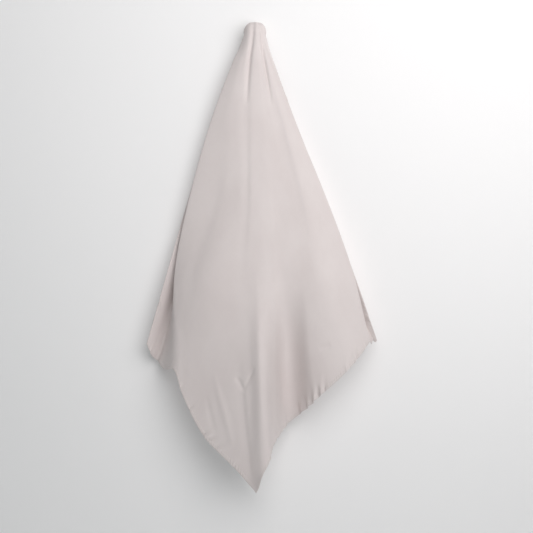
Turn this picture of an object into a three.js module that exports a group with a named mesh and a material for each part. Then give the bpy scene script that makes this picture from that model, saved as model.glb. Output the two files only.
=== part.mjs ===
// A plain square bandana hung by one corner over a round wall peg, in millimetres, +Z up.
// The wall is the plane y = 0 and the cloth hangs in front of it, at negative y.
// The origin is the centre of the peg plate's back face, which lies on the wall.
import * as THREE from 'three';
import * as BufferGeometryUtils from 'three/addons/utils/BufferGeometryUtils.js';

// ---- driving dimensions ----
const SIDE = 700;            // finished side of the square
const HEM = 9;               // width of the turned hem
const CLOTH_WALL = 1.2;      // wall of the single cloth
const HEM_WALL = 2.0;        // wall of the turned hem, which is folded twice
const SEAM_GAP = 0.3;        // clearance between neighbouring pieces
const FLAT_GAP = 1.5;        // the same at a seam in the flat square, which the folds narrow

const PLATE_RADIUS = 19;
const PLATE_DEPTH = 5;
const PLATE_CHAMFER = 1.2;
const STEM_RADIUS = 6;
const STEM_FILLET = 3;
const HEAD_RADIUS = 17.6;
const HEAD_REACH = 30;       // wall to the centre of the round head
const LATHE_STEPS = 32;

const HOOD_RADIUS = 21.8;    // middle of the cloth where it wraps the peg head
const TUCKED_BACK = 20;      // cloth that goes over the head and down behind it
const HOOD_ENDS = 30;        // from here along a thread the cloth starts to leave the head
const HOOD_GONE = 110;       // and from here it hangs free
const FAN_HEIGHT = 47.6;     // the fold lines fan out from a point this far above the origin

const COLUMN_ANGLE = 1.4;    // mean angle between the panel's columns, in degrees
const ROWS = 28;             // divisions of the panel down the fan
const FIRST_ROW = 0.0186;    // the first row's share of the way down
const ROW_CROWDING = 1.5;    // rows crowd together towards the peg
const DROP_STEPS = 60;       // steps in the sum that keeps each thread's length
const STEEPEST = 0.45;       // least share of a step's length that goes downwards
const LEAST_TURN = 0.35;     // limits how far a section is sped up where it bends
const TURN_SPEED = 0.12;     // roundness of the turn where a section doubles back

// ---- the folds ----
// Each row is one fold line. flat is its angle in the flat square, in degrees from the
// diagonal through the hung corner. At five distances down the cloth, lean is its angle
// sideways from the plumb line and off is its distance from the wall. give is the length
// it hangs at over its length in the flat square, from the stretch on the bias.
const DISTANCES = [120, 380, 560, 700, 1000];
const FOLDS = [
  { name: 'left edge',     flat: -45.0, lean: [-23.0, -19.7, -18.4, -17.9, -17.5], off: [20, 18, 36, 40, 40],      give: 1.004 },
  { name: 'left tuck',     flat: -35.0, lean: [-13.0, -7.0, -15.6, -16.0, -16.0],  off: [25, 18, 14, 20, 20],      give: 1.051 },
  { name: 'left turn',     flat: -25.0, lean: [-22.5, -19.4, -16.6, -13.0, -12.8], off: [34, 31, 42, 64, 72],      give: 0.999 },
  { name: 'left valley',   flat: -18.5, lean: [-17.3, -13.6, -14.4, -11.2, -11.0], off: [43, 46, 58, 74, 76],      give: 1.003 },
  { name: 'left flank',    flat: -10.0, lean: [-11.6, -7.6, -9.4, -7.3, -7.3],     off: [48, 58, 80, 88, 80],      give: 0.998 },
  { name: 'middle',        flat:  -1.0, lean: [-4.4, -2.0, -1.9, -1.0, -0.7],      off: [50, 65, 91, 108, 103],    give: 0.970 },
  { name: 'middle ridge',  flat:   3.5, lean: [-0.4, 0.9, 1.3, 1.1, 1.6],          off: [51, 67, 95, 117, 116],    give: 0.970 },
  { name: 'right fall',    flat:   8.2, lean: [3.6, 3.9, 3.8, 3.0, 2.6],           off: [51, 68, 92, 92, 62],      give: 0.986 },
  { name: 'right hollow',  flat:  11.8, lean: [6.0, 6.2, 5.7, 4.9, 5.1],           off: [50, 67, 86, 56, 4],       give: 0.996 },
  { name: 'right rise',    flat:  17.5, lean: [9.8, 9.6, 9.8, 8.9, 9.1],           off: [49, 66, 90, 85, 88],      give: 0.995 },
  { name: 'right swell',   flat:  25.0, lean: [13.9, 14.5, 13.8, 14.0, 14.0],      off: [46, 65, 90, 94, 96],      give: 0.995 },
  { name: 'right rim',     flat:  31.0, lean: [16.2, 17.8, 17.2, 17.0, 16.9],      off: [41, 54, 76, 80, 80],      give: 0.993 },
  { name: 'right turn',    flat:  36.0, lean: [18.2, 20.2, 20.0, 18.7, 18.6],      off: [33, 40, 56, 66, 68],      give: 0.990 },
  { name: 'right tuck',    flat:  40.5, lean: [19.0, 11.5, 16.8, 19.3, 19.4],      off: [25, 24, 26, 57, 58],      give: 1.017 },
  { name: 'right edge',    flat:  45.0, lean: [19.6, 20.5, 20.4, 20.1, 20.0],      off: [19, 23, 46, 59, 61],      give: 1.005 },
];

// ---- small helpers ----
const radians = (degrees) => degrees * Math.PI / 180;

// 0 before start, 1 after end, and a smooth S between them.
function ease(start, end, value) {
  const t = THREE.MathUtils.clamp((value - start) / (end - start), 0, 1);
  return t * t * (3 - 2 * t);
}

// The cubic that leaves start with slope startSlope and reaches end, width further on,
// with slope endSlope. t runs from 0 to 1.
function cubic(t, width, start, startSlope, end, endSlope) {
  const t2 = t * t;
  const t3 = t2 * t;
  return (2 * t3 - 3 * t2 + 1) * start + (t3 - 2 * t2 + t) * width * startSlope
    + (3 * t2 - 2 * t3) * end + (t3 - t2) * width * endSlope;
}

// The number of the span of knots that x lies in.
function spanOf(knots, x) {
  let k = 0;
  while (k < knots.length - 2 && x >= knots[k + 1]) k += 1;
  return k;
}

// A smooth curve through (knots, values). Its slope at a knot is the mean of the slopes
// of the two spans beside it, the shorter span weighing more.
function smoothThrough(knots, values, x) {
  const last = knots.length - 1;
  const rise = (k) => (values[k + 1] - values[k]) / (knots[k + 1] - knots[k]);
  const slope = (k) => {
    if (k === 0) return rise(0);
    if (k === last) return rise(last - 1);
    const share = (knots[k] - knots[k - 1]) / (knots[k + 1] - knots[k - 1]);
    return rise(k - 1) * (1 - share) + rise(k) * share;
  };
  const k = spanOf(knots, x);
  const width = knots[k + 1] - knots[k];
  return cubic((x - knots[k]) / width, width, values[k], slope(k), values[k + 1], slope(k + 1));
}

// ---- the hung cloth as a surface over the flat square ----
const foldAngles = FOLDS.map((fold) => fold.flat);
const foldGives = FOLDS.map((fold) => fold.give);
const downTheCloth = [0, ...DISTANCES];
const headCentre = new THREE.Vector3(0, -HEAD_REACH, 0);

// A section across the folds at one of the five distances: a curve through the fold
// lines' places in plan, sideways and out from the wall. The curve keeps its speed where
// it bends at a fold line, so that the cloth bends round there and isn't pinched. Where it
// doubles back sideways it runs straight to or from the wall for a moment.
function sectionAt(station) {
  const distance = DISTANCES[station];
  const places = FOLDS.map((fold) => new THREE.Vector2(
    distance * Math.sin(radians(fold.lean[station])),
    fold.off[station],
  ));
  const last = places.length - 1;
  const rises = foldAngles.slice(1).map((angle, k) => (
    places[k + 1].clone().sub(places[k]).divideScalar(angle - foldAngles[k])
  ));
  const slopes = places.map((_, k) => {
    if (k === 0) return rises[0];
    if (k === last) return rises[last - 1];
    const share = (foldAngles[k] - foldAngles[k - 1]) / (foldAngles[k + 1] - foldAngles[k - 1]);
    const mean = rises[k - 1].clone().lerp(rises[k], share);
    const speed = THREE.MathUtils.lerp(rises[k - 1].length(), rises[k].length(), share);
    if (rises[k - 1].x * rises[k].x < 0) {
      return new THREE.Vector2(0, Math.sign(mean.y) * TURN_SPEED * speed);
    }
    return mean.multiplyScalar(speed / Math.max(mean.length(), LEAST_TURN * speed));
  });
  return (flatAngle) => {
    const k = spanOf(foldAngles, flatAngle);
    const width = foldAngles[k + 1] - foldAngles[k];
    const t = (flatAngle - foldAngles[k]) / width;
    const along = (axis) => cubic(
      t,
      width,
      places[k][axis],
      slopes[k][axis],
      places[k + 1][axis],
      slopes[k + 1][axis],
    );
    return { leanSine: along('x') / distance, off: along('y') };
  };
}

const sections = DISTANCES.map((_, station) => sectionAt(station));

// The thread at one flat angle: how it leans, stands off the wall and gives.
function threadAt(flatAngle) {
  const crossings = sections.map((section) => section(flatAngle));
  return {
    leanSine: [crossings[0].leanSine, ...crossings.map((crossing) => crossing.leanSine)],
    off: [crossings[0].off, ...crossings.map((crossing) => crossing.off)],
    give: smoothThrough(foldAngles, foldGives, flatAngle),
  };
}

// The free hanging place at a distance along a thread. Sideways and out from the wall it
// follows the fold table. Downwards it takes what is left of each short step's length,
// so a thread is as long when it hangs as it is in the flat square.
function hangingPoint(distance, thread) {
  const sideways = (r) => r * smoothThrough(downTheCloth, thread.leanSine, r);
  const outwards = (r) => smoothThrough(downTheCloth, thread.off, r);
  const step = distance / DROP_STEPS;
  let x = 0;
  let off = outwards(0);
  let drop = 0;
  for (let k = 1; k <= DROP_STEPS; k += 1) {
    const nextX = sideways(k * step);
    const nextOff = outwards(k * step);
    const length = thread.give * step;
    const left = length ** 2 - (nextX - x) ** 2 - (nextOff - off) ** 2;
    drop += Math.sqrt(Math.max(left, (STEEPEST * length) ** 2));
    x = nextX;
    off = nextOff;
  }
  return new THREE.Vector3(x, -off, FAN_HEIGHT - drop);
}

// The place on the hood over the peg head. along and across are distances in the flat
// square from the hung corner, down the diagonal and to its right. along goes over the
// round head from behind and then straight down. across goes round the head to each side
// and then straight back towards the wall.
function hoodPoint(along, across) {
  const quarter = Math.PI / 2;
  const over = (along - TUCKED_BACK) / HOOD_RADIUS;
  const round = THREE.MathUtils.clamp(across / HOOD_RADIUS, -quarter, quarter);
  const straightBack = Math.abs(across / HOOD_RADIUS) - Math.abs(round);
  const reach = Math.cos(round) - straightBack;
  const straightDown = Math.max(over - quarter, 0);
  const turned = over - straightDown;
  return new THREE.Vector3(Math.sin(round), -Math.sin(turned) * reach, Math.cos(turned) * reach - straightDown)
    .multiplyScalar(HOOD_RADIUS)
    .add(headCentre);
}

// Maps a place in the flat square to the hung cloth. The hung corner is (0, 0), right
// runs along the upper right side and left along the upper left side.
function clothPoint(right, left) {
  const along = (right + left) / Math.SQRT2;
  const across = (right - left) / Math.SQRT2;
  const distance = Math.hypot(along, across);
  const angle = THREE.MathUtils.radToDeg(Math.atan2(across, along));
  const hanging = hangingPoint(distance, threadAt(angle));
  const point = hoodPoint(along, across).lerp(hanging, ease(HOOD_ENDS, HOOD_GONE, distance));
  const fromHead = point.clone().sub(headCentre);
  if (fromHead.length() < HOOD_RADIUS) {
    point.copy(headCentre).add(fromHead.setLength(HOOD_RADIUS));
  }
  return point;
}

// The front face's direction at a place in the flat square.
function clothNormal(right, left) {
  const reach = 0.5;
  const acrossRight = clothPoint(right + reach, left).sub(clothPoint(right - reach, left));
  const acrossLeft = clothPoint(right, left + reach).sub(clothPoint(right, left - reach));
  return acrossLeft.cross(acrossRight).normalize();
}

// ---- walls ----
// Closes a grid of flat places into a wall. places[i][j] is { right, left } in the flat
// square, i down the cloth and j to the right. The two faces stand half the wall to each
// side, and strips close the four sides. A first row of one place closes the wall to a tip.
function clothWall(places, wall) {
  const positions = [];
  const addFace = (side) => places.map((row) => row.map((place) => {
    const offset = clothNormal(place.right, place.left).multiplyScalar(side * wall / 2);
    const point = clothPoint(place.right, place.left).add(offset);
    positions.push(point.x, point.y, point.z);
    return positions.length / 3 - 1;
  }));
  const front = addFace(1);
  const back = addFace(-1);
  const triangles = [];
  const quad = (a, b, c, d) => {
    if (a !== b) triangles.push(a, b, c);
    if (c !== d) triangles.push(a, c, d);
  };
  const last = places.length - 1;
  for (let i = 0; i < last; i += 1) {
    const tip = front[i].length === 1;
    const columns = front[i + 1].length - 1;
    for (let j = 0; j < columns; j += 1) {
      const [here, next] = tip ? [0, 0] : [j, j + 1];
      quad(front[i][next], front[i][here], front[i + 1][j], front[i + 1][j + 1]);
      quad(back[i][here], back[i][next], back[i + 1][j + 1], back[i + 1][j]);
    }
    const end = front[i].length - 1;
    quad(front[i][0], back[i][0], back[i + 1][0], front[i + 1][0]);
    quad(back[i][end], front[i][end], front[i + 1][columns], back[i + 1][columns]);
  }
  const closeRow = (i, j, flip) => {
    const corners = [front[i][j], back[i][j], back[i][j + 1], front[i][j + 1]];
    if (flip) corners.reverse();
    quad(...corners);
  };
  for (let j = 0; j < front[0].length - 1; j += 1) closeRow(0, j, true);
  for (let j = 0; j < front[last].length - 1; j += 1) closeRow(last, j, false);
  const geometry = new THREE.BufferGeometry();
  geometry.setAttribute('position', new THREE.Float32BufferAttribute(positions, 3));
  geometry.setIndex(triangles);
  geometry.computeVertexNormals();
  return geometry;
}

// ---- the panel ----
const panelSide = SIDE - 2 * HEM;

// The angles of the panel's columns. They crowd together at each fold line, where the
// cloth turns, and one runs down the diagonal to the bottom corner.
function columnAngles() {
  const breaks = [...foldAngles, 0].sort((a, b) => a - b);
  const angles = [breaks[0]];
  for (let k = 1; k < breaks.length; k += 1) {
    const width = breaks[k] - breaks[k - 1];
    const divisions = Math.max(2, Math.round(width / COLUMN_ANGLE));
    for (let step = 1; step <= divisions; step += 1) {
      angles.push(breaks[k - 1] + width * (1 - Math.cos(Math.PI * step / divisions)) / 2);
    }
  }
  return angles;
}

const columns = columnAngles();
const lastColumn = columns.length - 1;
const diagonalColumn = columns.findIndex((angle) => Math.abs(angle) < 1e-9);

// Where row i and column j of the panel lie in the flat square: a fan from the inner
// corner of the hung hems to the two lower seams.
function panelPlace(i, j) {
  const share = i === 0 ? 0 : FIRST_ROW + (1 - FIRST_ROW) * ((i - 1) / (ROWS - 1)) ** ROW_CROWDING;
  const angle = radians(45 + columns[j]);
  const reach = share * panelSide / Math.max(Math.sin(angle), Math.cos(angle));
  return { right: HEM + reach * Math.sin(angle), left: HEM + reach * Math.cos(angle) };
}

function panelGeometry() {
  const places = [[panelPlace(0, 0)]];
  for (let i = 1; i <= ROWS; i += 1) {
    places.push(columns.map((_, j) => panelPlace(i, j)));
  }
  return clothWall(places, CLOTH_WALL);
}

// ---- the hems ----
// A hem runs beside one side of the panel, with the panel's own divisions. Its inner line
// stands a seam gap off the panel, and its ends are mitred to the next hems.
function hemGeometry(panelPlaces, outwardsRight, outwardsLeft, reversed) {
  const mitreGap = FLAT_GAP * Math.SQRT1_2;
  const rows = panelPlaces.map((place) => {
    const strip = [FLAT_GAP, HEM].map((outwards) => {
      const spread = (value) => {
        const share = (value - HEM) / panelSide;
        const start = HEM - outwards + mitreGap;
        return start + share * (SIDE - 2 * start);
      };
      return {
        right: outwardsRight ? place.right + outwardsRight * outwards : spread(place.right),
        left: outwardsLeft ? place.left + outwardsLeft * outwards : spread(place.left),
      };
    });
    return reversed ? strip.reverse() : strip;
  });
  return clothWall(rows, HEM_WALL);
}

const rowNumbers = Array.from({ length: ROWS + 1 }, (_, i) => i);
const columnNumbers = columns.map((_, j) => j);

const hems = [
  {
    name: 'hem_upper_left',
    places: rowNumbers.map((i) => panelPlace(i, 0)),
    outwardsRight: -1,
    outwardsLeft: 0,
    reversed: true,
  },
  {
    name: 'hem_upper_right',
    places: rowNumbers.map((i) => panelPlace(i, lastColumn)),
    outwardsRight: 0,
    outwardsLeft: -1,
    reversed: false,
  },
  {
    name: 'hem_lower_left',
    places: columnNumbers.slice(0, diagonalColumn + 1).map((j) => panelPlace(ROWS, j)),
    outwardsRight: 0,
    outwardsLeft: 1,
    reversed: true,
  },
  {
    name: 'hem_lower_right',
    places: columnNumbers.slice(diagonalColumn).map((j) => panelPlace(ROWS, j)),
    outwardsRight: 1,
    outwardsLeft: 0,
    reversed: true,
  },
];

// ---- the wall peg ----
// Both pieces are turned about the Y axis, so a profile point is (radius, y).
function plateGeometry() {
  const profile = [
    new THREE.Vector2(0, -PLATE_DEPTH),
    new THREE.Vector2(PLATE_RADIUS - PLATE_CHAMFER, -PLATE_DEPTH),
    new THREE.Vector2(PLATE_RADIUS, PLATE_CHAMFER - PLATE_DEPTH),
    new THREE.Vector2(PLATE_RADIUS, 0),
    new THREE.Vector2(0, 0),
  ];
  return new THREE.LatheGeometry(profile, LATHE_STEPS);
}

function knobGeometry() {
  const stemStart = -PLATE_DEPTH - SEAM_GAP;
  const profile = [new THREE.Vector2(0, -HEAD_REACH - HEAD_RADIUS)];
  const neck = Math.PI - Math.asin((STEM_RADIUS + STEM_FILLET) / HEAD_RADIUS);
  const headSteps = 10;
  for (let k = 1; k <= headSteps; k += 1) {
    const turn = neck * k / headSteps;
    profile.push(new THREE.Vector2(HEAD_RADIUS * Math.sin(turn), -HEAD_REACH - HEAD_RADIUS * Math.cos(turn)));
  }
  const neckEnd = profile[headSteps].y;
  profile.push(new THREE.Vector2(STEM_RADIUS, neckEnd + STEM_FILLET));
  profile.push(new THREE.Vector2(STEM_RADIUS, stemStart));
  profile.push(new THREE.Vector2(0, stemStart));
  return new THREE.LatheGeometry(profile, LATHE_STEPS);
}

// ---- the object ----
const clothMaterial = new THREE.MeshStandardMaterial({ color: '#d8cbc7', roughness: 0.75, metalness: 0, name: 'woven cloth' });
const hemMaterial = new THREE.MeshStandardMaterial({ color: '#d3c6c2', roughness: 0.75, metalness: 0, name: 'hemmed cloth' });
const pegMaterial = new THREE.MeshStandardMaterial({ color: '#e9e7e3', roughness: 0.4, metalness: 0, name: 'white paint' });

// Only positions and faces are kept, with shared points merged.
function addPiece(group, name, geometry, material) {
  geometry.deleteAttribute('normal');
  geometry.deleteAttribute('uv');
  const merged = BufferGeometryUtils.mergeVertices(geometry, 1e-4);
  const piece = new THREE.Mesh(merged, material);
  piece.name = name;
  group.add(piece);
}

const bandana = new THREE.Group();
addPiece(bandana, 'panel', panelGeometry(), clothMaterial);
for (const hem of hems) {
  const geometry = hemGeometry(hem.places, hem.outwardsRight, hem.outwardsLeft, hem.reversed);
  addPiece(bandana, hem.name, geometry, hemMaterial);
}
addPiece(bandana, 'peg_plate', plateGeometry(), pegMaterial);
addPiece(bandana, 'peg_knob', knobGeometry(), pegMaterial);

export default bandana;
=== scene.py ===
"""A plain square bandana hung by one corner over a round wall peg.

Lengths are metres and +Z is up. The wall is the plane y = 0, and the cloth hangs in front
of it at negative y. The cloth is one smooth surface worked out over the flat square.
"""

import math
from collections import namedtuple

import bpy
import numpy as np
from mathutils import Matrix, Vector


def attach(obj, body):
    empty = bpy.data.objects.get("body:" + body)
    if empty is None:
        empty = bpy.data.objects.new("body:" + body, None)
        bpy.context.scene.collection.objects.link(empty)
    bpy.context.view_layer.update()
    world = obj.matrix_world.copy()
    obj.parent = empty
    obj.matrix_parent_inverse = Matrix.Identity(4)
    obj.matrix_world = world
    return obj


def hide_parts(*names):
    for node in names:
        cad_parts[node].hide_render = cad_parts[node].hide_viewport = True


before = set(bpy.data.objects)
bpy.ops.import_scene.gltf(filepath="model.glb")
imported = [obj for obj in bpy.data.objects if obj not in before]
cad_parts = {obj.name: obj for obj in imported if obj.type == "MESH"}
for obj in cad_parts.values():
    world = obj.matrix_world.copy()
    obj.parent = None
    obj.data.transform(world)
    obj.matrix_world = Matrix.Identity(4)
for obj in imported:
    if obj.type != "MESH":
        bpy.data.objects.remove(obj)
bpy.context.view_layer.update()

MM = 0.001

# ---- the cut ----
SIDE = 700 * MM  # finished side of the square
STITCH_LINE = 7.6 * MM  # hem's edge to the stitching
CLOTH_INSET = 6 * MM  # the single cloth ends inside the hem, which is 9 mm wide
PANEL_SIDE = SIDE - 2 * CLOTH_INSET
CLOTH_THICKNESS = 0.5 * MM

# ---- the peg, whose plate's back face is the origin ----
PLATE_RADIUS = 19 * MM
PLATE_DEPTH = 5 * MM
PLATE_EDGE = 1.2 * MM  # radius of the plate's rounded front edge
STEM_RADIUS = 6 * MM
STEM_FILLET = 3 * MM
HEAD_RADIUS = 17.6 * MM
HEAD_REACH = 30 * MM  # wall to the centre of the round head
PEG_GAP = 0.3 * MM  # clearance between the stem and the plate

# ---- how the cloth hangs ----
HOOD_RADIUS = 21.8 * MM  # middle of the cloth where it wraps the peg head
TUCKED_BACK = 20 * MM  # cloth that goes over the head and down behind it
HOOD_ENDS = 30 * MM  # from here along a thread the cloth starts to leave the head
HOOD_GONE = 110 * MM  # and from here it hangs free
FAN_HEIGHT = 47.6 * MM  # the fold lines fan out from a point this far above the origin
DROP_STEPS = 60  # steps in the sum that keeps each thread's length
STEEPEST = 0.45  # least share of a step's length that goes downwards
LEAST_TURN = 0.35  # limits how far a section is sped up where it bends
TURN_SPEED = 0.12  # roundness of the turn where a section doubles back

# Each row is one fold line, as the frame's own panel has it. flat is its angle in the flat
# square, in degrees from the diagonal through the hung corner. At each of the distances
# down the cloth, lean is its angle sideways from the plumb line and off its distance from
# the wall in millimetres. give is how much longer than flat it hangs.
DISTANCES = np.array([120, 380, 560, 700, 1000]) * MM
Fold = namedtuple("Fold", "name flat lean off give")
FOLDS = [
    Fold("left edge", -45.0, (-23.0, -19.7, -18.4, -17.9, -17.5), (20, 18, 36, 40, 40), 1.004),
    Fold("left tuck", -35.0, (-13.0, -7.0, -15.6, -16.0, -16.0), (25, 18, 14, 20, 20), 1.051),
    Fold("left turn", -25.0, (-22.5, -19.4, -16.6, -13.0, -12.8), (34, 31, 42, 64, 72), 0.999),
    Fold("left valley", -18.5, (-17.3, -13.6, -14.4, -11.2, -11.0), (43, 46, 58, 74, 76), 1.003),
    Fold("left flank", -10.0, (-11.6, -7.6, -9.4, -7.3, -7.3), (48, 58, 80, 88, 80), 0.998),
    Fold("middle", -1.0, (-4.4, -2.0, -1.9, -1.0, -0.7), (50, 65, 91, 108, 103), 0.970),
    Fold("middle ridge", 3.5, (-0.4, 0.9, 1.3, 1.1, 1.6), (51, 67, 95, 117, 116), 0.970),
    Fold("right fall", 8.2, (3.6, 3.9, 3.8, 3.0, 2.6), (51, 68, 92, 92, 62), 0.986),
    Fold("right hollow", 11.8, (6.0, 6.2, 5.7, 4.9, 5.1), (50, 67, 86, 56, 4), 0.996),
    Fold("right rise", 17.5, (9.8, 9.6, 9.8, 8.9, 9.1), (49, 66, 90, 85, 88), 0.995),
    Fold("right swell", 25.0, (13.9, 14.5, 13.8, 14.0, 14.0), (46, 65, 90, 94, 96), 0.995),
    Fold("right rim", 31.0, (16.2, 17.8, 17.2, 17.0, 16.9), (41, 54, 76, 80, 80), 0.993),
    Fold("right turn", 36.0, (18.2, 20.2, 20.0, 18.7, 18.6), (33, 40, 56, 66, 68), 0.990),
    Fold("right tuck", 40.5, (19.0, 11.5, 16.8, 19.3, 19.4), (25, 24, 26, 57, 58), 1.017),
    Fold("right edge", 45.0, (19.6, 20.5, 20.4, 20.1, 20.0), (19, 23, 46, 59, 61), 1.005),
]

# ---- creases, on top of the folds ----
# Each row is a soft ridge (height above 0) or trough (below 0) along a line in the flat
# square, from one end to the other. Each end is its angle from the diagonal in degrees and
# its distance from the hung corner. bow is how far the line's middle swings to the right,
# left and right how far its two flanks reach, and height its greatest height. All are in
# millimetres.
Crease = namedtuple("Crease", "name start end bow left right height")
CREASES = [
    Crease("head crease left", (-14.0, 10), (-2.2, 200), 0, 5, 4, -4.2),
    Crease("head crease right", (2.0, 10), (17.0, 200), 2, 4.5, 5, -4.2),
    Crease("middle crease", (-3.6, 95), (-1.9, 570), 4, 15, 8, -1.3),
    Crease("right crease", (17.0, 110), (22.0, 480), 3, 18, 12, -1.7),
    Crease("left crease", (-18.5, 230), (-15.5, 600), 0, 26, 20, -1.6),
    Crease("right valley", (17.0, 500), (13.0, 850), 0, 30, 22, -2.2),
    Crease("pressed line", (1.6, 520), (3.4, 940), 3, 12, 9, 0.7),
    Crease("tip hollow", (-3.6, 720), (-0.4, 960), -6, 16, 10, -1.8),
    Crease("left streak", (-8.9, 735), (-4.0, 890), 0, 8, 8, 1.4),
    Crease("left furrow", (-10.2, 780), (-7.2, 862), 0, 8, 7, -0.9),
    Crease("dent down", (-4.1, 748), (-2.4, 780), 0, 6, 4, -1.7),
    Crease("dent up", (-2.8, 782), (0.8, 736), 0, 5, 4, -1.7),
    Crease("dimple", (19.6, 690), (22.6, 688), 0, 7, 5, -1.2),
    Crease("corner valley", (-32.5, 590), (-36.5, 770), 0, 16, 12, -7.0),
    Crease("tip curl", (-3.0, 988), (3.0, 988), 0, 20, 26, -10.0),
]
CREASE_FADE = 0.75  # below 1, a crease keeps its height further towards its ends

# ---- puckers, where the stitching draws the hem up ----
# side is the hem that each row is on and along its distance in millimetres from the upper
# end of that hem. reach is how far each way along the hem it goes, slant how far it moves
# along for each millimetre further into the cloth, and height its greatest height.
Pucker = namedtuple("Pucker", "side along reach slant height")
PUCKERS = [
    Pucker("lower left", 40, 5, 0.5, 1.5),
    Pucker("lower left", 212, 4, 0.6, -1.5),
    Pucker("lower left", 322, 5, 0.4, 1.4),
    Pucker("lower left", 405, 4, 0.5, -1.4),
    Pucker("lower left", 494, 4, 0.7, -2.5),
    Pucker("lower left", 506, 4, 0.7, 2.0),
    Pucker("lower left", 518, 4, 0.6, -2.0),
    Pucker("lower left", 548, 5, 0.6, -2.4),
    Pucker("lower left", 607, 5, 0.4, 1.5),
    Pucker("lower right", 60, 6, -0.5, 1.4),
    Pucker("lower right", 148, 5, -0.4, -1.4),
    Pucker("lower right", 207, 5, -0.8, -2.9),
    Pucker("lower right", 219, 5, -0.8, 2.0),
    Pucker("lower right", 258, 6, -0.6, 1.5),
    Pucker("lower right", 336, 4, -0.7, -3.0),
    Pucker("lower right", 347, 4, -0.7, 2.4),
    Pucker("lower right", 358, 4, -0.6, -4.0),
    Pucker("lower right", 370, 5, -0.6, 2.4),
    Pucker("lower right", 381, 4, -0.6, -4.2),
    Pucker("lower right", 392, 4, -0.6, 2.6),
    Pucker("lower right", 403, 4, -0.5, -3.8),
    Pucker("lower right", 418, 5, -0.5, 2.2),
    Pucker("lower right", 431, 4, -0.5, -3.2),
    Pucker("lower right", 463, 4, -0.5, -2.2),
    Pucker("lower right", 474, 4, -0.5, 1.7),
    Pucker("lower right", 512, 4, -0.4, -1.9),
    Pucker("lower right", 590, 5, -0.4, 1.4),
    Pucker("upper left", 236, 6, 0.4, 1.2),
    Pucker("upper left", 455, 5, 0.5, -1.4),
    Pucker("upper left", 612, 5, 0.4, 1.4),
    Pucker("upper right", 188, 6, -0.4, 1.2),
    Pucker("upper right", 402, 5, -0.5, -1.4),
    Pucker("upper right", 655, 5, -0.6, 1.5),
]
PUCKER_DEPTH = 17 * MM  # how far into the cloth a pucker fades out
PUCKER_SPREAD = 0.15  # how much a pucker widens for each millimetre further in

# ---- ripples, small and uneven, all along each hem between the stitches ----
RIPPLE_HEIGHT = 0.42 * MM
RIPPLE_PITCH = 8.5 * MM
RIPPLE_DEPTH = 12 * MM  # how far into the cloth they fade out
RIPPLE_SLANT = 0.5  # how far they move along the hem for each millimetre further in
RIPPLE_WANDER = 2.2  # how far their pitch strays, as an angle in radians
WANDER_LENGTH = 19 * MM  # sets how often it strays along the hem
FINE_HEIGHT = 0.6  # the finer ripples, as shares of the others' height and pitch
FINE_PITCH = 0.61
SWELL_MEAN = 0.55  # the ripples' strength swells and dies by SWELL_RANGE about this mean
SWELL_RANGE = 0.45
SWELL_LENGTHS = (31 * MM, 73 * MM)  # set how often it does, as two uneven waves

# ---- stitches ----
STITCH_PITCH = 2.6 * MM
STITCH_LENGTH = 2.0 * MM
THREAD_RADIUS = 0.17 * MM
STITCH_ARCH = 0.1 * MM  # a stitch's middle above the groove
STITCH_DIP = 2.6  # and its ends lie this many arches below its middle
GROOVE_FRONT = 0.24 * MM  # the stitching grooves' heights over the cloth's middle
GROOVE_BACK = -0.88 * MM

# ---- mesh sizes ----
CLOTH_LINES = 220  # grid lines each way over the cloth
LINE_CROWDING = 0.055  # how far the lines crowd towards the four sides
NORMAL_REACH = 0.5 * MM  # half the step over which the cloth's direction is measured
HEM_STEP = 0.9 * MM
STITCH_SIDES = 6
LATHE_STEPS = 96
HEAD_STEPS = 39
FILLET_STEPS = 8
EDGE_STEPS = 6


# ---- small helpers ----
def ease(start, end, value):
    """0 before start, 1 after end, and 3t^2 - 2t^3 of the way t between them."""
    t = np.clip((value - start) / (end - start), 0, 1)
    return t * t * (3 - 2 * t)


def mean_at_knots(knots, spans):
    """The mean at each inner knot of the two spans beside it, the shorter weighing more."""
    widths = np.diff(knots)
    share = widths[:-1] / (widths[:-1] + widths[1:])
    return spans[..., :-1] * (1 - share) + spans[..., 1:] * share


def knot_slopes(knots, values):
    """The slope of a smooth curve at its knots: the mean of the slopes of the two spans
    beside each, and the one span's own slope at an end. The last axis is the knots.
    """
    rises = np.diff(values) / np.diff(knots)
    return np.concatenate([rises[..., :1], mean_at_knots(knots, rises), rises[..., -1:]], axis=-1)


def along_knots(knots, values, slopes, x):
    """The cubic of the span of knots that each x lies in: it leaves and reaches the span's
    ends with their values and slopes. The last axis of values and slopes is the knots.
    """
    span = np.clip(np.searchsorted(knots, x, side="right") - 1, 0, len(knots) - 2)
    width = knots[span + 1] - knots[span]
    t = (x - knots[span]) / width

    def at(array, index):
        array = np.broadcast_to(array, x.shape + (len(knots),))
        return np.take_along_axis(array, index[..., None], axis=-1)[..., 0]

    t2 = t * t
    t3 = t2 * t
    return (
        (2 * t3 - 3 * t2 + 1) * at(values, span)
        + (t3 - 2 * t2 + t) * width * at(slopes, span)
        + (3 * t2 - 2 * t3) * at(values, span + 1)
        + (t3 - t2) * width * at(slopes, span + 1)
    )


# ---- the hung cloth as a surface over the flat square ----
FOLD_ANGLES = np.array([fold.flat for fold in FOLDS])
FOLD_GIVES = np.array([fold.give for fold in FOLDS])
HEAD_CENTRE = np.array([0.0, -HEAD_REACH, 0.0])


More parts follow.
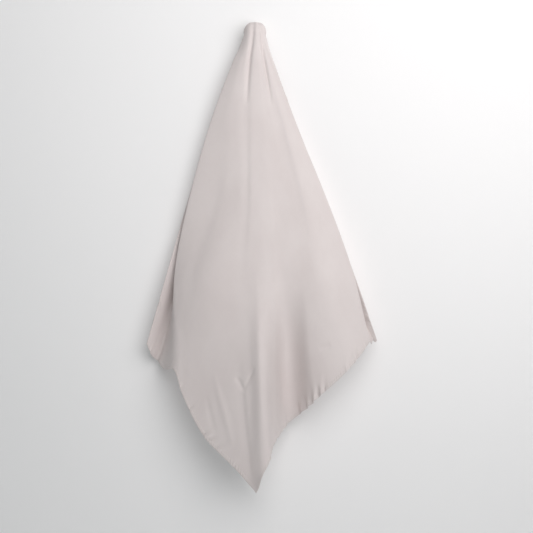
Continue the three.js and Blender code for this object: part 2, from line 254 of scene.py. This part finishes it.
def section_curve(station):
    """The fold lines' places in plan at one of the distances down the cloth, sideways and
    out from the wall, and the slopes of the smooth curve through them. A slope is the mean
    of its two spans', sped up to their mean speed, so that the cloth bends round there and
    isn't pinched. Where the curve turns back sideways its slope points straight to or from
    the wall, and TURN_SPEED sets how round the turn is.
    """
    lean = np.radians([fold.lean[station] for fold in FOLDS])
    off = np.array([fold.off[station] for fold in FOLDS]) * MM
    places = np.stack([DISTANCES[station] * np.sin(lean), off])
    rises = np.diff(places) / np.diff(FOLD_ANGLES)
    speeds = np.linalg.norm(rises, axis=0)
    slopes = knot_slopes(FOLD_ANGLES, places)
    inner = slopes[:, 1:-1]
    mean_speed = mean_at_knots(FOLD_ANGLES, speeds)
    bent = inner * mean_speed / np.maximum(np.linalg.norm(inner, axis=0), LEAST_TURN * mean_speed)
    turned = np.stack([np.zeros_like(mean_speed), np.sign(inner[1]) * TURN_SPEED * mean_speed])
    turns_back = rises[0, :-1] * rises[0, 1:] < 0
    slopes[:, 1:-1] = np.where(turns_back, turned, bent)
    return places, slopes


SECTIONS = [section_curve(station) for station in range(len(DISTANCES))]


def threads_at(angle):
    """How the thread at each flat angle leans (as a sine), stands off the wall and gives.
    The first two have a last axis for the distances down the cloth, which starts at 0.
    """
    lean_sine, off = [], []
    for distance, (places, slopes) in zip(DISTANCES, SECTIONS):
        lean_sine.append(along_knots(FOLD_ANGLES, places[0], slopes[0], angle) / distance)
        off.append(along_knots(FOLD_ANGLES, places[1], slopes[1], angle))
    lean_sine.insert(0, lean_sine[0])
    off.insert(0, off[0])
    give = along_knots(FOLD_ANGLES, FOLD_GIVES, knot_slopes(FOLD_ANGLES, FOLD_GIVES), angle)
    return np.stack(lean_sine, axis=-1), np.stack(off, axis=-1), give


def hanging_places(distance, angle):
    """Where the free cloth hangs. Sideways and out from the wall it follows the fold table.
    Downwards it takes what is left of each short step's length, so a thread is as long
    when it hangs as it is in the flat square.
    """
    lean_sine, off, give = threads_at(angle)
    knots = np.concatenate([[0], DISTANCES])
    lean_slopes = knot_slopes(knots, lean_sine)
    off_slopes = knot_slopes(knots, off)

    def plan(r):
        sideways = r * along_knots(knots, lean_sine, lean_slopes, r)
        return sideways, along_knots(knots, off, off_slopes, r)

    step = distance / DROP_STEPS
    length = give * step
    x, out = plan(np.zeros_like(distance))
    drop = np.zeros_like(distance)
    for k in range(1, DROP_STEPS + 1):
        next_x, next_out = plan(step * k)
        left = length**2 - (next_x - x) ** 2 - (next_out - out) ** 2
        drop += np.sqrt(np.maximum(left, (STEEPEST * length) ** 2))
        x, out = next_x, next_out
    return np.stack([x, -out, FAN_HEIGHT - drop], axis=-1)


def hood_places(along, across):
    """Where the cloth lies over the peg head. along and across are distances in the flat
    square from the hung corner, down the diagonal and to its right. along goes over the
    round head from behind and then straight down; across goes round the head to each side
    and then straight back towards the wall.
    """
    quarter = math.pi / 2
    over = (along - TUCKED_BACK) / HOOD_RADIUS
    around = np.clip(across / HOOD_RADIUS, -quarter, quarter)
    straight_back = np.abs(across / HOOD_RADIUS) - np.abs(around)
    reach = np.cos(around) - straight_back
    straight_down = np.maximum(over - quarter, 0)
    turned = over - straight_down
    place = np.stack(
        [np.sin(around), -np.sin(turned) * reach, np.cos(turned) * reach - straight_down],
        axis=-1,
    )
    return HEAD_CENTRE + HOOD_RADIUS * place


def cloth_places(right, left):
    """Maps places in the flat square to the hung cloth's middle. The hung corner is (0, 0),
    right runs along the upper right side and left along the upper left side. The hood eases
    into the hanging cloth, and nothing comes inside the hood's ball.
    """
    along = (right + left) / math.sqrt(2)
    across = (right - left) / math.sqrt(2)
    distance = np.hypot(along, across)
    angle = np.degrees(np.arctan2(across, along))
    free = ease(HOOD_ENDS, HOOD_GONE, distance)[..., None]
    place = hood_places(along, across) * (1 - free) + hanging_places(distance, angle) * free
    from_head = place - HEAD_CENTRE
    far = np.linalg.norm(from_head, axis=-1, keepdims=True)
    pushed = HEAD_CENTRE + from_head * (HOOD_RADIUS / np.maximum(far, 1e-9))
    return np.where(far < HOOD_RADIUS, pushed, place)


def cloth_normals(right, left):
    """The front face's direction: square to two short steps over the cloth."""
    reach = NORMAL_REACH
    across_right = cloth_places(right + reach, left) - cloth_places(right - reach, left)
    across_left = cloth_places(right, left + reach) - cloth_places(right, left - reach)
    normal = np.cross(across_left, across_right)
    return normal / np.linalg.norm(normal, axis=-1, keepdims=True)


def crease_height(right, left):
    """The creases' height over the folds: along each crease's bowed line a bell curve
    across it, which fades to nothing at both ends.
    """
    height = np.zeros(np.broadcast(right, left).shape)
    for crease in CREASES:
        ends = []
        for angle, distance in (crease.start, crease.end):
            turn = math.radians(angle)
            ends.append(np.array([math.cos(turn), math.sin(turn)]) * distance * MM)
        line = ends[1] - ends[0]
        length = np.linalg.norm(line)
        line = line / length
        along = (right + left) / math.sqrt(2) - ends[0][0]
        across = (right - left) / math.sqrt(2) - ends[0][1]
        t = (along * line[0] + across * line[1]) / length
        aside = across * line[0] - along * line[1]
        aside = aside - crease.bow * MM * 4 * t * (1 - t)
        width = np.where(aside < 0, crease.left, crease.right) * MM
        fade = np.clip(4 * t * (1 - t), 0, 1) ** CREASE_FADE
        height += crease.height * MM * fade * np.exp(-((aside / width) ** 2))
    return height


# Each hem's sides in the flat square: places are (right, left) at a distance along the
# hem from its upper end and a distance in from its edge.
HEM_SIDES = {
    "upper left": lambda along, inwards: (inwards, along),
    "upper right": lambda along, inwards: (along, inwards),
    "lower left": lambda along, inwards: (along, SIDE - inwards),
    "lower right": lambda along, inwards: (SIDE - inwards, along),
}


def along_and_inwards(side, right, left):
    """The inverse of HEM_SIDES, for a place anywhere in the flat square."""
    return {
        "upper left": (left, right),
        "upper right": (right, left),
        "lower left": (right, SIDE - left),
        "lower right": (left, SIDE - right),
    }[side]


def pucker_height(right, left):
    """The puckers' and ripples' height. A pucker is a bell curve along its hem, which slants
    and widens as it goes into the cloth, where it fades out. Between the puckers run the
    ripples, sines of two uneven pitches whose strength swells and dies along the hem.
    """
    height = np.zeros(np.broadcast(right, left).shape)
    for number, side in enumerate(HEM_SIDES):
        along, inwards = along_and_inwards(side, right, left)
        fade = np.exp(-((inwards / PUCKER_DEPTH) ** 2))
        for pucker in PUCKERS:
            if pucker.side == side:
                aside = along - pucker.along * MM - pucker.slant * inwards
                reach = pucker.reach * MM + PUCKER_SPREAD * inwards
                height += pucker.height * MM * fade * np.exp(-((aside / reach) ** 2))
        short_wave = np.sin(along / SWELL_LENGTHS[0] + 1.7 * number)
        long_wave = np.sin(along / SWELL_LENGTHS[1] + number)
        swell = SWELL_MEAN + SWELL_RANGE * short_wave * long_wave
        turns = 2 * math.pi * (along + RIPPLE_SLANT * inwards) / RIPPLE_PITCH
        wander = RIPPLE_WANDER * np.sin(along / WANDER_LENGTH + number)
        ripple = np.sin(turns + wander)
        ripple += FINE_HEIGHT * np.sin(turns / FINE_PITCH + 1.1 * number)
        fade = np.exp(-((inwards / RIPPLE_DEPTH) ** 2))
        height += RIPPLE_HEIGHT * swell * ripple * fade
    return height


def raised_places(right, left, height):
    """Places a height in front of the cloth's middle, creases and puckers included."""
    total = crease_height(right, left) + pucker_height(right, left) + height
    return cloth_places(right, left) + cloth_normals(right, left) * total[..., None]


# ---- meshes ----
def new_piece(name, places, faces, material, flat=None):
    """A mesh piece from an (n, 3) array of places and rows of corners. flat is the places
    in the flat square, which go into the UV map as shares of the side.
    """
    mesh = bpy.data.meshes.new(name)
    mesh.from_pydata(places.tolist(), [], faces)
    if flat is not None:
        corner_vertex = np.empty(len(mesh.loops), np.int32)
        mesh.loops.foreach_get("vertex_index", corner_vertex)
        cut = mesh.uv_layers.new(name="cut")
        cut.data.foreach_set("uv", (flat[corner_vertex] / SIDE).ravel())
    mesh.polygons.foreach_set("use_smooth", np.ones(len(mesh.polygons), bool))
    mesh.materials.append(material)
    mesh.update()
    piece = bpy.data.objects.new(name, mesh)
    bpy.context.collection.objects.link(piece)
    return piece


def quads_between(above, below):
    """Rows of four corners that join two rows of vertex numbers. Seen from outside, both
    rows run to the right.
    """
    return np.stack([above[:-1], below[:-1], below[1:], above[1:]], axis=-1)


def faces_round(grid):
    """Faces between neighbouring rings of vertex numbers, each ring closed on itself."""
    closed = np.concatenate([grid, grid[:, :1]], axis=1)
    strips = [quads_between(closed[k], closed[k + 1]) for k in range(len(grid) - 1)]
    return np.concatenate(strips).tolist()


def shell_faces(rows, columns):
    """Faces of a closed shell over a grid: its front, its back behind it and the rim. The
    front's vertices come first, then the back's.
    """
    front = np.arange(rows * columns).reshape(rows, columns)
    back = front + rows * columns
    faces = []
    for i in range(rows - 1):
        faces.append(quads_between(front[i], front[i + 1]))
        faces.append(quads_between(back[i], back[i + 1])[:, ::-1])
    faces.append(quads_between(back[0], front[0]))
    faces.append(quads_between(back[-1], front[-1])[:, ::-1])
    faces.append(quads_between(back[:, 0], front[:, 0])[:, ::-1])
    faces.append(quads_between(back[:, -1], front[:, -1]))
    return np.concatenate(faces).tolist()


def cloth_piece(material):
    """The cloth inside the hems. Its two faces stand half its thickness to each side of
    the hung surface and its creases; grid lines crowd towards the four sides.
    """
    share = np.linspace(0, 1, CLOTH_LINES)
    crowded = share - LINE_CROWDING * np.sin(2 * math.pi * share)
    line = CLOTH_INSET + crowded * PANEL_SIDE
    left, right = np.meshgrid(line, line, indexing="ij")
    half = CLOTH_THICKNESS / 2
    faces = [raised_places(right, left, side * half) for side in (1, -1)]
    places = np.concatenate([face.reshape(-1, 3) for face in faces])
    flat = np.stack([right, left], axis=-1).reshape(-1, 2)
    return new_piece(
        "bandana_cloth",
        places,
        shell_faces(CLOTH_LINES, CLOTH_LINES),
        material,
        np.concatenate([flat, flat]),
    )


# The hem's section from its inner edge in front, round its outer edge, to its inner edge
# behind. inwards is the distance from its outer edge and height the height in front of the
# cloth's middle, in millimetres. The stitching draws a groove in both faces.
SectionPoint = namedtuple("SectionPoint", "inwards height")
HEM_SECTION = [
    SectionPoint(9.0, 0.02),
    SectionPoint(8.6, 0.24),
    SectionPoint(8.1, 0.30),
    SectionPoint(7.6, 0.22),
    SectionPoint(7.1, 0.34),
    SectionPoint(6.2, 0.48),
    SectionPoint(4.4, 0.58),
    SectionPoint(2.4, 0.56),
    SectionPoint(1.0, 0.44),
    SectionPoint(0.3, 0.18),
    SectionPoint(0.0, -0.25),
    SectionPoint(0.25, -0.72),
    SectionPoint(0.9, -1.02),
    SectionPoint(2.4, -1.14),
    SectionPoint(4.8, -1.16),
    SectionPoint(6.8, -1.02),
    SectionPoint(7.6, -0.86),
    SectionPoint(8.3, -1.0),
    SectionPoint(8.8, -0.96),
    SectionPoint(9.05, -0.7),
    SectionPoint(9.05, -0.1),
]


def hem_piece(side, material):
    """One turned hem: its section swept along its side of the square, mitred at both ends
    to the next hems, with the ends closed.
    """
    name = "turned_hem_" + side.replace(" ", "_")
    inwards = np.array([point.inwards for point in HEM_SECTION]) * MM
    height = np.array([point.height for point in HEM_SECTION]) * MM
    steps = round(SIDE / HEM_STEP)
    share = np.linspace(0, 1, steps + 1)[:, None]
    along = inwards + share * (SIDE - 2 * inwards)
    right, left = HEM_SIDES[side](along, np.broadcast_to(inwards, along.shape))
    places = raised_places(right, left, height)
    rings, points = along.shape
    grid = np.arange(rings * points).reshape(rings, points)
    faces = faces_round(grid)
    ends = [grid[0].tolist(), grid[-1].tolist()[::-1]]
    # On these two sides, along and inwards are a mirror image of the other two.
    if side in ("upper left", "lower left"):
        faces = [face[::-1] for face in faces]
        ends = [end[::-1] for end in ends]
    flat = np.stack([right, left], axis=-1).reshape(-1, 2)
    return new_piece(name, places.reshape(-1, 3), faces + ends, material, flat)


# The rings of one stitch. share is how far each lies from its middle, -1 and 1 at its
# ends, and thickness its share of the thread's radius.
StitchRing = namedtuple("StitchRing", "share thickness")
STITCH_RINGS = [
    StitchRing(-1, 0.35),
    StitchRing(-0.82, 0.8),
    StitchRing(-0.4, 1),
    StitchRing(0.4, 1),
    StitchRing(0.82, 0.8),
    StitchRing(1, 0.35),
]


def stitch_piece(name, height, material):
    """All the lockstitches on one face of the four hems. Each is a short length of thread
    on the stitching line: rings round its own line, which arches a little off the cloth and
    dips into it at both ends. height is the groove's own height.
    """
    share = np.array([circle.share for circle in STITCH_RINGS])
    radius = THREAD_RADIUS * np.array([circle.thickness for circle in STITCH_RINGS])
    arch = np.sign(height) * STITCH_ARCH * (1 - STITCH_DIP * share**4)
    turn = np.linspace(0, 2 * math.pi, STITCH_SIDES, endpoint=False)
    first = np.arange(2 * STITCH_LINE, SIDE - 2 * STITCH_LINE, STITCH_PITCH)
    all_places, all_faces = [], []
    rings = len(share)
    ring = np.arange(STITCH_SIDES)
    beside = np.roll(ring, -1)
    for side in HEM_SIDES:
        along = first[:, None] + share * STITCH_LENGTH / 2
        inwards = np.full(along.shape, STITCH_LINE)
        right, left = HEM_SIDES[side](along, inwards)
        centre = raised_places(right, left, height + arch)
        normal = cloth_normals(right, left)
        ahead = np.gradient(centre, axis=1)
        ahead /= np.linalg.norm(ahead, axis=-1, keepdims=True)
        across = np.cross(ahead, normal)
        out = (
            np.cos(turn)[:, None] * normal[:, :, None, :]
            + np.sin(turn)[:, None] * across[:, :, None, :]
        )
        places = centre[:, :, None, :] + radius[:, None, None] * out
        start = sum(len(part) for part in all_places)
        number = np.arange(len(first))[:, None] * rings * STITCH_SIDES + start
        for k in range(rings - 1):
            low = k * STITCH_SIDES
            high = low + STITCH_SIDES
            strip = np.stack([low + ring, low + beside, high + beside, high + ring], axis=-1)
            all_faces += (number[:, :, None] + strip).reshape(-1, 4).tolist()
        all_faces += (number + ring[::-1]).tolist()
        all_faces += (number + (rings - 1) * STITCH_SIDES + ring).tolist()
        all_places.append(places.reshape(-1, 3))
    return new_piece(name, np.concatenate(all_places), all_faces, material)


def turned_piece(name, profile, material):
    """A turned piece about the Y axis. profile is (radius, y) from its front to its back,
    each point's circle is a ring, and its two ends on the axis close it with a fan.
    """
    turn = np.linspace(0, 2 * math.pi, LATHE_STEPS, endpoint=False)
    radius, y = np.array(profile).T
    ring_radius, ring_y = radius[1:-1, None], y[1:-1, None]
    rings = np.stack(
        [ring_radius * np.cos(turn), ring_y + 0 * turn, ring_radius * np.sin(turn)],
        axis=-1,
    ).reshape(-1, 3)
    places = np.concatenate([rings, [[0, y[0], 0], [0, y[-1], 0]]])
    grid = np.arange(len(rings)).reshape(-1, LATHE_STEPS)
    beside = np.roll(grid, -1, axis=1)
    near = len(rings)
    far = near + 1
    faces = faces_round(grid)
    faces += [[near, a, b] for a, b in zip(grid[0].tolist(), beside[0].tolist())]
    faces += [[far, b, a] for a, b in zip(grid[-1].tolist(), beside[-1].tolist())]
    return new_piece(name, places, faces, material)


def knob_profile():
    """The round head, a fillet and the straight stem, front to back."""
    neck = math.pi - math.asin((STEM_RADIUS + STEM_FILLET) / HEAD_RADIUS)
    around = np.linspace(0, neck, HEAD_STEPS + 1)
    head = np.stack([HEAD_RADIUS * np.sin(around), -HEAD_REACH - HEAD_RADIUS * np.cos(around)], -1)
    quarter = np.linspace(0, math.pi / 2, FILLET_STEPS + 1)[1:]
    fillet = np.stack(
        [
            STEM_RADIUS + STEM_FILLET * (1 - np.sin(quarter)),
            head[-1, 1] + STEM_FILLET * (1 - np.cos(quarter)),
        ],
        axis=-1,
    )
    back = -PLATE_DEPTH - PEG_GAP
    return [*head.tolist(), *fillet.tolist(), (STEM_RADIUS, back), (0, back)]


def plate_profile():
    """A flat round plate with a rounded front edge, front to back."""
    quarter = np.linspace(0, math.pi / 2, EDGE_STEPS + 1)
    edge = np.stack(
        [
            PLATE_RADIUS - PLATE_EDGE * (1 - np.sin(quarter)),
            -PLATE_DEPTH + PLATE_EDGE * (1 - np.cos(quarter)),
        ],
        axis=-1,
    )
    return [(0, -PLATE_DEPTH), *edge.tolist(), (PLATE_RADIUS, 0), (0, 0)]


# ---- materials ----
def linear(hex_colour):
    """An sRGB hex colour as linear RGB with alpha 1, by the sRGB curve."""
    channels = [int(hex_colour[i : i + 2], 16) / 255 for i in (1, 3, 5)]
    curve = [c / 12.92 if c <= 0.04045 else ((c + 0.055) / 1.055) ** 2.4 for c in channels]
    return (*curve, 1.0)


def new_material(name):
    """An empty node material with its Principled shader already on the output."""
    material = bpy.data.materials.new(name)
    material.use_nodes = True
    return material, material.node_tree.nodes["Principled BSDF"]


def add_node(material, kind, links=None, **settings):
    """Adds a node. links gives its inputs, by name or number, a socket or a value, and
    settings its own properties.
    """
    node = material.node_tree.nodes.new(kind)
    for name, value in settings.items():
        setattr(node, name, value)
    for name, value in (links or {}).items():
        if isinstance(value, bpy.types.NodeSocket):
            material.node_tree.links.new(value, node.inputs[name])
        else:
            node.inputs[name].default_value = value
    return node


def colour_ramp(material, factor, *stops):
    """A colour ramp over factor, with stops of (position, sRGB hex colour)."""
    ramp = add_node(material, "ShaderNodeValToRGB", {"Fac": factor})
    elements = ramp.color_ramp.elements
    while len(elements) < len(stops):
        elements.new(0.5)
    for element, (position, colour) in zip(elements, stops):
        element.position = position
        element.color = linear(colour)
    return ramp.outputs["Color"]


WEAVE_PITCH = 0.9 * MM
SLUBS_ALONG = 18  # to the square's side: a slub is about 39 mm long
SLUBS_ACROSS = 900  # and about 0.8 mm thick
DYE_PATCHES = 7.0  # patches of about 100 mm


def woven_cloth(name, light, dark, weave_depth):
    """Plain weave: threads cross over and under by turns, seen as a fine even grain.

    The real threads are about a fifth of a millimetre apart, too fine to draw, so the weave
    is drawn at WEAVE_PITCH. Slubs, thicker stretches of single threads, run both ways. The
    colour wanders a little where the dye took unevenly. A scale of 1 is the square's side.
    """
    material, shader = new_material(name)
    cut = add_node(material, "ShaderNodeUVMap", uv_map="cut").outputs["UV"]
    threads = SIDE / WEAVE_PITCH
    parts = add_node(material, "ShaderNodeSeparateXYZ", {0: cut})
    waves = []
    for axis in ("X", "Y"):
        angle = add_node(
            material,
            "ShaderNodeMath",
            {0: parts.outputs[axis], 1: math.pi * threads},
            operation="MULTIPLY",
        ).outputs[0]
        wave = add_node(material, "ShaderNodeMath", {0: angle}, operation="SINE")
        waves.append(wave.outputs[0])
    weave = add_node(
        material, "ShaderNodeMath", {0: waves[0], 1: waves[1]}, operation="MULTIPLY"
    ).outputs[0]
    slubs = []
    for stretch in ((SLUBS_ALONG, SLUBS_ACROSS, 1), (SLUBS_ACROSS, SLUBS_ALONG, 1)):
        stretched = add_node(material, "ShaderNodeMapping", {"Vector": cut, "Scale": stretch})
        noise = add_node(
            material,
            "ShaderNodeTexNoise",
            {"Vector": stretched.outputs[0], "Scale": 1.0, "Detail": 2.0},
            noise_dimensions="2D",
        )
        slubs.append(noise.outputs[0])
    slub = add_node(
        material, "ShaderNodeMath", {0: slubs[0], 1: slubs[1]}, operation="MAXIMUM"
    ).outputs[0]
    patches = add_node(
        material,
        "ShaderNodeTexNoise",
        {"Vector": cut, "Scale": DYE_PATCHES, "Detail": 5.0, "Roughness": 0.55},
        noise_dimensions="2D",
    ).outputs[0]
    colour = add_node(
        material,
        "ShaderNodeMix",
        {
            "Factor": 0.35,
            "A": colour_ramp(material, patches, (0.3, light), (0.7, dark)),
            "B": colour_ramp(material, slub, (0.5, light), (0.85, dark)),
        },
        data_type="RGBA",
    )
    roughness = add_node(
        material,
        "ShaderNodeMapRange",
        {"Value": patches, "From Min": 0.3, "From Max": 0.7, "To Min": 0.72, "To Max": 0.86},
    )
    relief = add_node(
        material, "ShaderNodeMath", {0: slub, 1: 0.8, 2: weave}, operation="MULTIPLY_ADD"
    )
    bump = add_node(
        material,
        "ShaderNodeBump",
        {"Height": relief.outputs[0], "Strength": weave_depth, "Distance": 0.12 * MM},
    )
    tree = material.node_tree
    tree.links.new(colour.outputs["Result"], shader.inputs["Base Color"])
    tree.links.new(roughness.outputs["Result"], shader.inputs["Roughness"])
    tree.links.new(bump.outputs["Normal"], shader.inputs["Normal"])
    shader.inputs["Specular IOR Level"].default_value = 0.22
    shader.inputs["Sheen Weight"].default_value = 0.12
    shader.inputs["Sheen Roughness"].default_value = 0.45
    return material


def sewing_thread():
    """Spun polyester thread, twisted from fine fibres: a soft sheen and a ropy relief. The
    twist shows at about 0.4 mm, which is 2400 to the metre.
    """
    material, shader = new_material("spun_polyester_sewing_thread")
    place = add_node(material, "ShaderNodeTexCoord").outputs["Object"]
    twist = add_node(
        material,
        "ShaderNodeTexNoise",
        {"Vector": place, "Scale": 2400.0, "Detail": 2.0},
    ).outputs[0]
    shades = colour_ramp(material, twist, (0.35, "#d9d1cd"), (0.65, "#f0e9e6"))
    bump = add_node(
        material, "ShaderNodeBump", {"Height": twist, "Strength": 0.5, "Distance": 0.05 * MM}
    )
    material.node_tree.links.new(shades, shader.inputs["Base Color"])
    material.node_tree.links.new(bump.outputs["Normal"], shader.inputs["Normal"])
    shader.inputs["Roughness"].default_value = 0.55
    shader.inputs["Sheen Weight"].default_value = 0.2
    return material


def painted_wood():
    """Turned beech under white satin paint: the grain just shows as fine long lines, about
    1 mm wide and 17 mm long. The paint is a little uneven, and lightly soiled in patches
    of about 11 mm. Scales are to the metre.
    """
    material, shader = new_material("turned_beech_white_satin_paint")
    place = add_node(material, "ShaderNodeTexCoord").outputs["Object"]
    stretched = add_node(
        material, "ShaderNodeMapping", {"Vector": place, "Scale": (900, 60, 900)}
    ).outputs[0]
    grain = add_node(
        material, "ShaderNodeTexNoise", {"Vector": stretched, "Scale": 1.0, "Detail": 3.0}
    ).outputs[0]
    soil = add_node(
        material, "ShaderNodeTexNoise", {"Vector": place, "Scale": 90.0, "Detail": 4.0}
    ).outputs[0]
    shades = colour_ramp(material, soil, (0.3, "#efece6"), (0.7, "#e4dfd7"))
    gloss = add_node(
        material,
        "ShaderNodeMapRange",
        {"Value": soil, "From Min": 0.3, "From Max": 0.7, "To Min": 0.3, "To Max": 0.46},
    )
    bump = add_node(
        material, "ShaderNodeBump", {"Height": grain, "Strength": 0.25, "Distance": 0.08 * MM}
    )
    tree = material.node_tree
    tree.links.new(shades, shader.inputs["Base Color"])
    tree.links.new(gloss.outputs["Result"], shader.inputs["Roughness"])
    tree.links.new(bump.outputs["Normal"], shader.inputs["Normal"])
    return material


def matte_wall():
    """Smooth matte white emulsion. Seen from behind it lets the view through."""
    material, shader = new_material("matte_emulsion_wall")
    shader.inputs["Base Color"].default_value = linear("#f3f3f3")
    shader.inputs["Roughness"].default_value = 1.0
    shader.inputs["Specular IOR Level"].default_value = 0.0
    clear = add_node(material, "ShaderNodeBsdfTransparent").outputs["BSDF"]
    behind = add_node(material, "ShaderNodeNewGeometry").outputs["Backfacing"]
    mix = add_node(
        material, "ShaderNodeMixShader", {"Fac": behind, 1: shader.outputs["BSDF"], 2: clear}
    )
    tree = material.node_tree
    tree.links.new(mix.outputs["Shader"], tree.nodes["Material Output"].inputs["Surface"])
    return material


# ---- the stage ----
HALF_WIDTH = 4.0
WALL_TOP = 2.2
WALL_PLACE = 0.0006  # just behind the peg's plate
FLOOR_LEVEL = -1.5
FLOOR_DEPTH = 6.0


def flat_piece(name, corners, material):
    """One flat four-sided piece, its corners anticlockwise as seen from its front."""
    return new_piece(name, np.array(corners), [(0, 1, 2, 3)], material)


def make_stage():
    """A wall behind the cloth and a floor under it, both flat and pale. The wall throws no
    shadow, so that light from behind reaches the cloth's back.
    """
    material = matte_wall()
    wall = flat_piece(
        "wall",
        [
            (-HALF_WIDTH, WALL_PLACE, FLOOR_LEVEL),
            (HALF_WIDTH, WALL_PLACE, FLOOR_LEVEL),
            (HALF_WIDTH, WALL_PLACE, WALL_TOP),
            (-HALF_WIDTH, WALL_PLACE, WALL_TOP),
        ],
        material,
    )
    floor = flat_piece(
        "floor",
        [
            (-HALF_WIDTH, -FLOOR_DEPTH, FLOOR_LEVEL),
            (HALF_WIDTH, -FLOOR_DEPTH, FLOOR_LEVEL),
            (HALF_WIDTH, FLOOR_DEPTH, FLOOR_LEVEL),
            (-HALF_WIDTH, FLOOR_DEPTH, FLOOR_LEVEL),
        ],
        material,
    )
    wall.visible_shadow = False


def area_light(name, place, target, size, power, colour="#ffffff"):
    """A round soft light of a diameter in metres and a power in watts, aimed at target."""
    light = bpy.data.lights.new(name, "AREA")
    light.shape = "DISK"
    light.size = size
    light.energy = power
    light.color = linear(colour)[:3]
    lamp = bpy.data.objects.new(name, light)
    lamp.location = place
    direction = np.array(target) - np.array(place)
    lamp.rotation_euler = Vector(direction).to_track_quat("-Z", "Y").to_euler()
    bpy.context.collection.objects.link(lamp)


def make_lights():
    """A soft key light from the upper right in front, one behind the wall for the back of
    the cloth, and a dim even surround.
    """
    area_light("key", (0.52, -1.3, 0.3), (0.15, 0, 0.2), 1.8, 22, "#fffbfb")
    area_light("back", (0.6, 2.2, 0.8), (0, 0, -0.4), 1.6, 30)
    world = bpy.data.worlds.new("studio")
    world.use_nodes = True
    surround = world.node_tree.nodes["Background"]
    surround.inputs["Color"].default_value = linear("#e8eff0")
    surround.inputs["Strength"].default_value = 0.34
    bpy.context.scene.world = world
    bpy.context.scene.view_settings.view_transform = "Standard"


CAMERA_DISTANCE = 3.0
CAMERA_SIDEWAYS = 0.0227
CAMERA_HEIGHT = -0.4656
SENSOR_WIDTH = 36  # millimetres
CLOTH_REACH = 0.06  # how far in front of the wall the cloth is, on the whole
VIEW_WIDTH = 1.05  # the width that is seen at that distance


def make_camera():
    """Level and square to the wall."""
    camera = bpy.data.cameras.new("camera")
    camera.sensor_width = SENSOR_WIDTH
    camera.lens = SENSOR_WIDTH * (CAMERA_DISTANCE - CLOTH_REACH) / VIEW_WIDTH
    seat = bpy.data.objects.new("camera", camera)
    seat.location = (CAMERA_SIDEWAYS, -CAMERA_DISTANCE, CAMERA_HEIGHT)
    seat.rotation_euler = (math.radians(90), 0, 0)
    bpy.context.collection.objects.link(seat)
    bpy.context.scene.camera = seat


make_camera()
make_lights()
make_stage()

cloth_material = woven_cloth("polyester_microfibre_plain_weave", "#dcd4d2", "#d6cdcb", 0.35)
hem_material = woven_cloth("turned_polyester_microfibre_hem", "#dbd3d1", "#d3cac8", 0.45)
thread_material = sewing_thread()
peg_material = painted_wood()

cloth = cloth_piece(cloth_material)
hems = [hem_piece(side, hem_material) for side in HEM_SIDES]
stitches = [
    stitch_piece("hem_stitches_front", GROOVE_FRONT, thread_material),
    stitch_piece("hem_stitches_back", GROOVE_BACK, thread_material),
]
knob = turned_piece("turned_peg", knob_profile(), peg_material)
plate = turned_piece("peg_wall_plate", plate_profile(), peg_material)

for slot, pieces in [("cloth", [cloth]), ("peg", [knob, plate]), ("hem", hems + stitches)]:
    for piece in pieces:
        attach(piece, "root")
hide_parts("panel")
for side, hem in zip(HEM_SIDES, hems):
    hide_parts("hem_" + side.replace(" ", "_"))
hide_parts("peg_knob")
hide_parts("peg_plate")
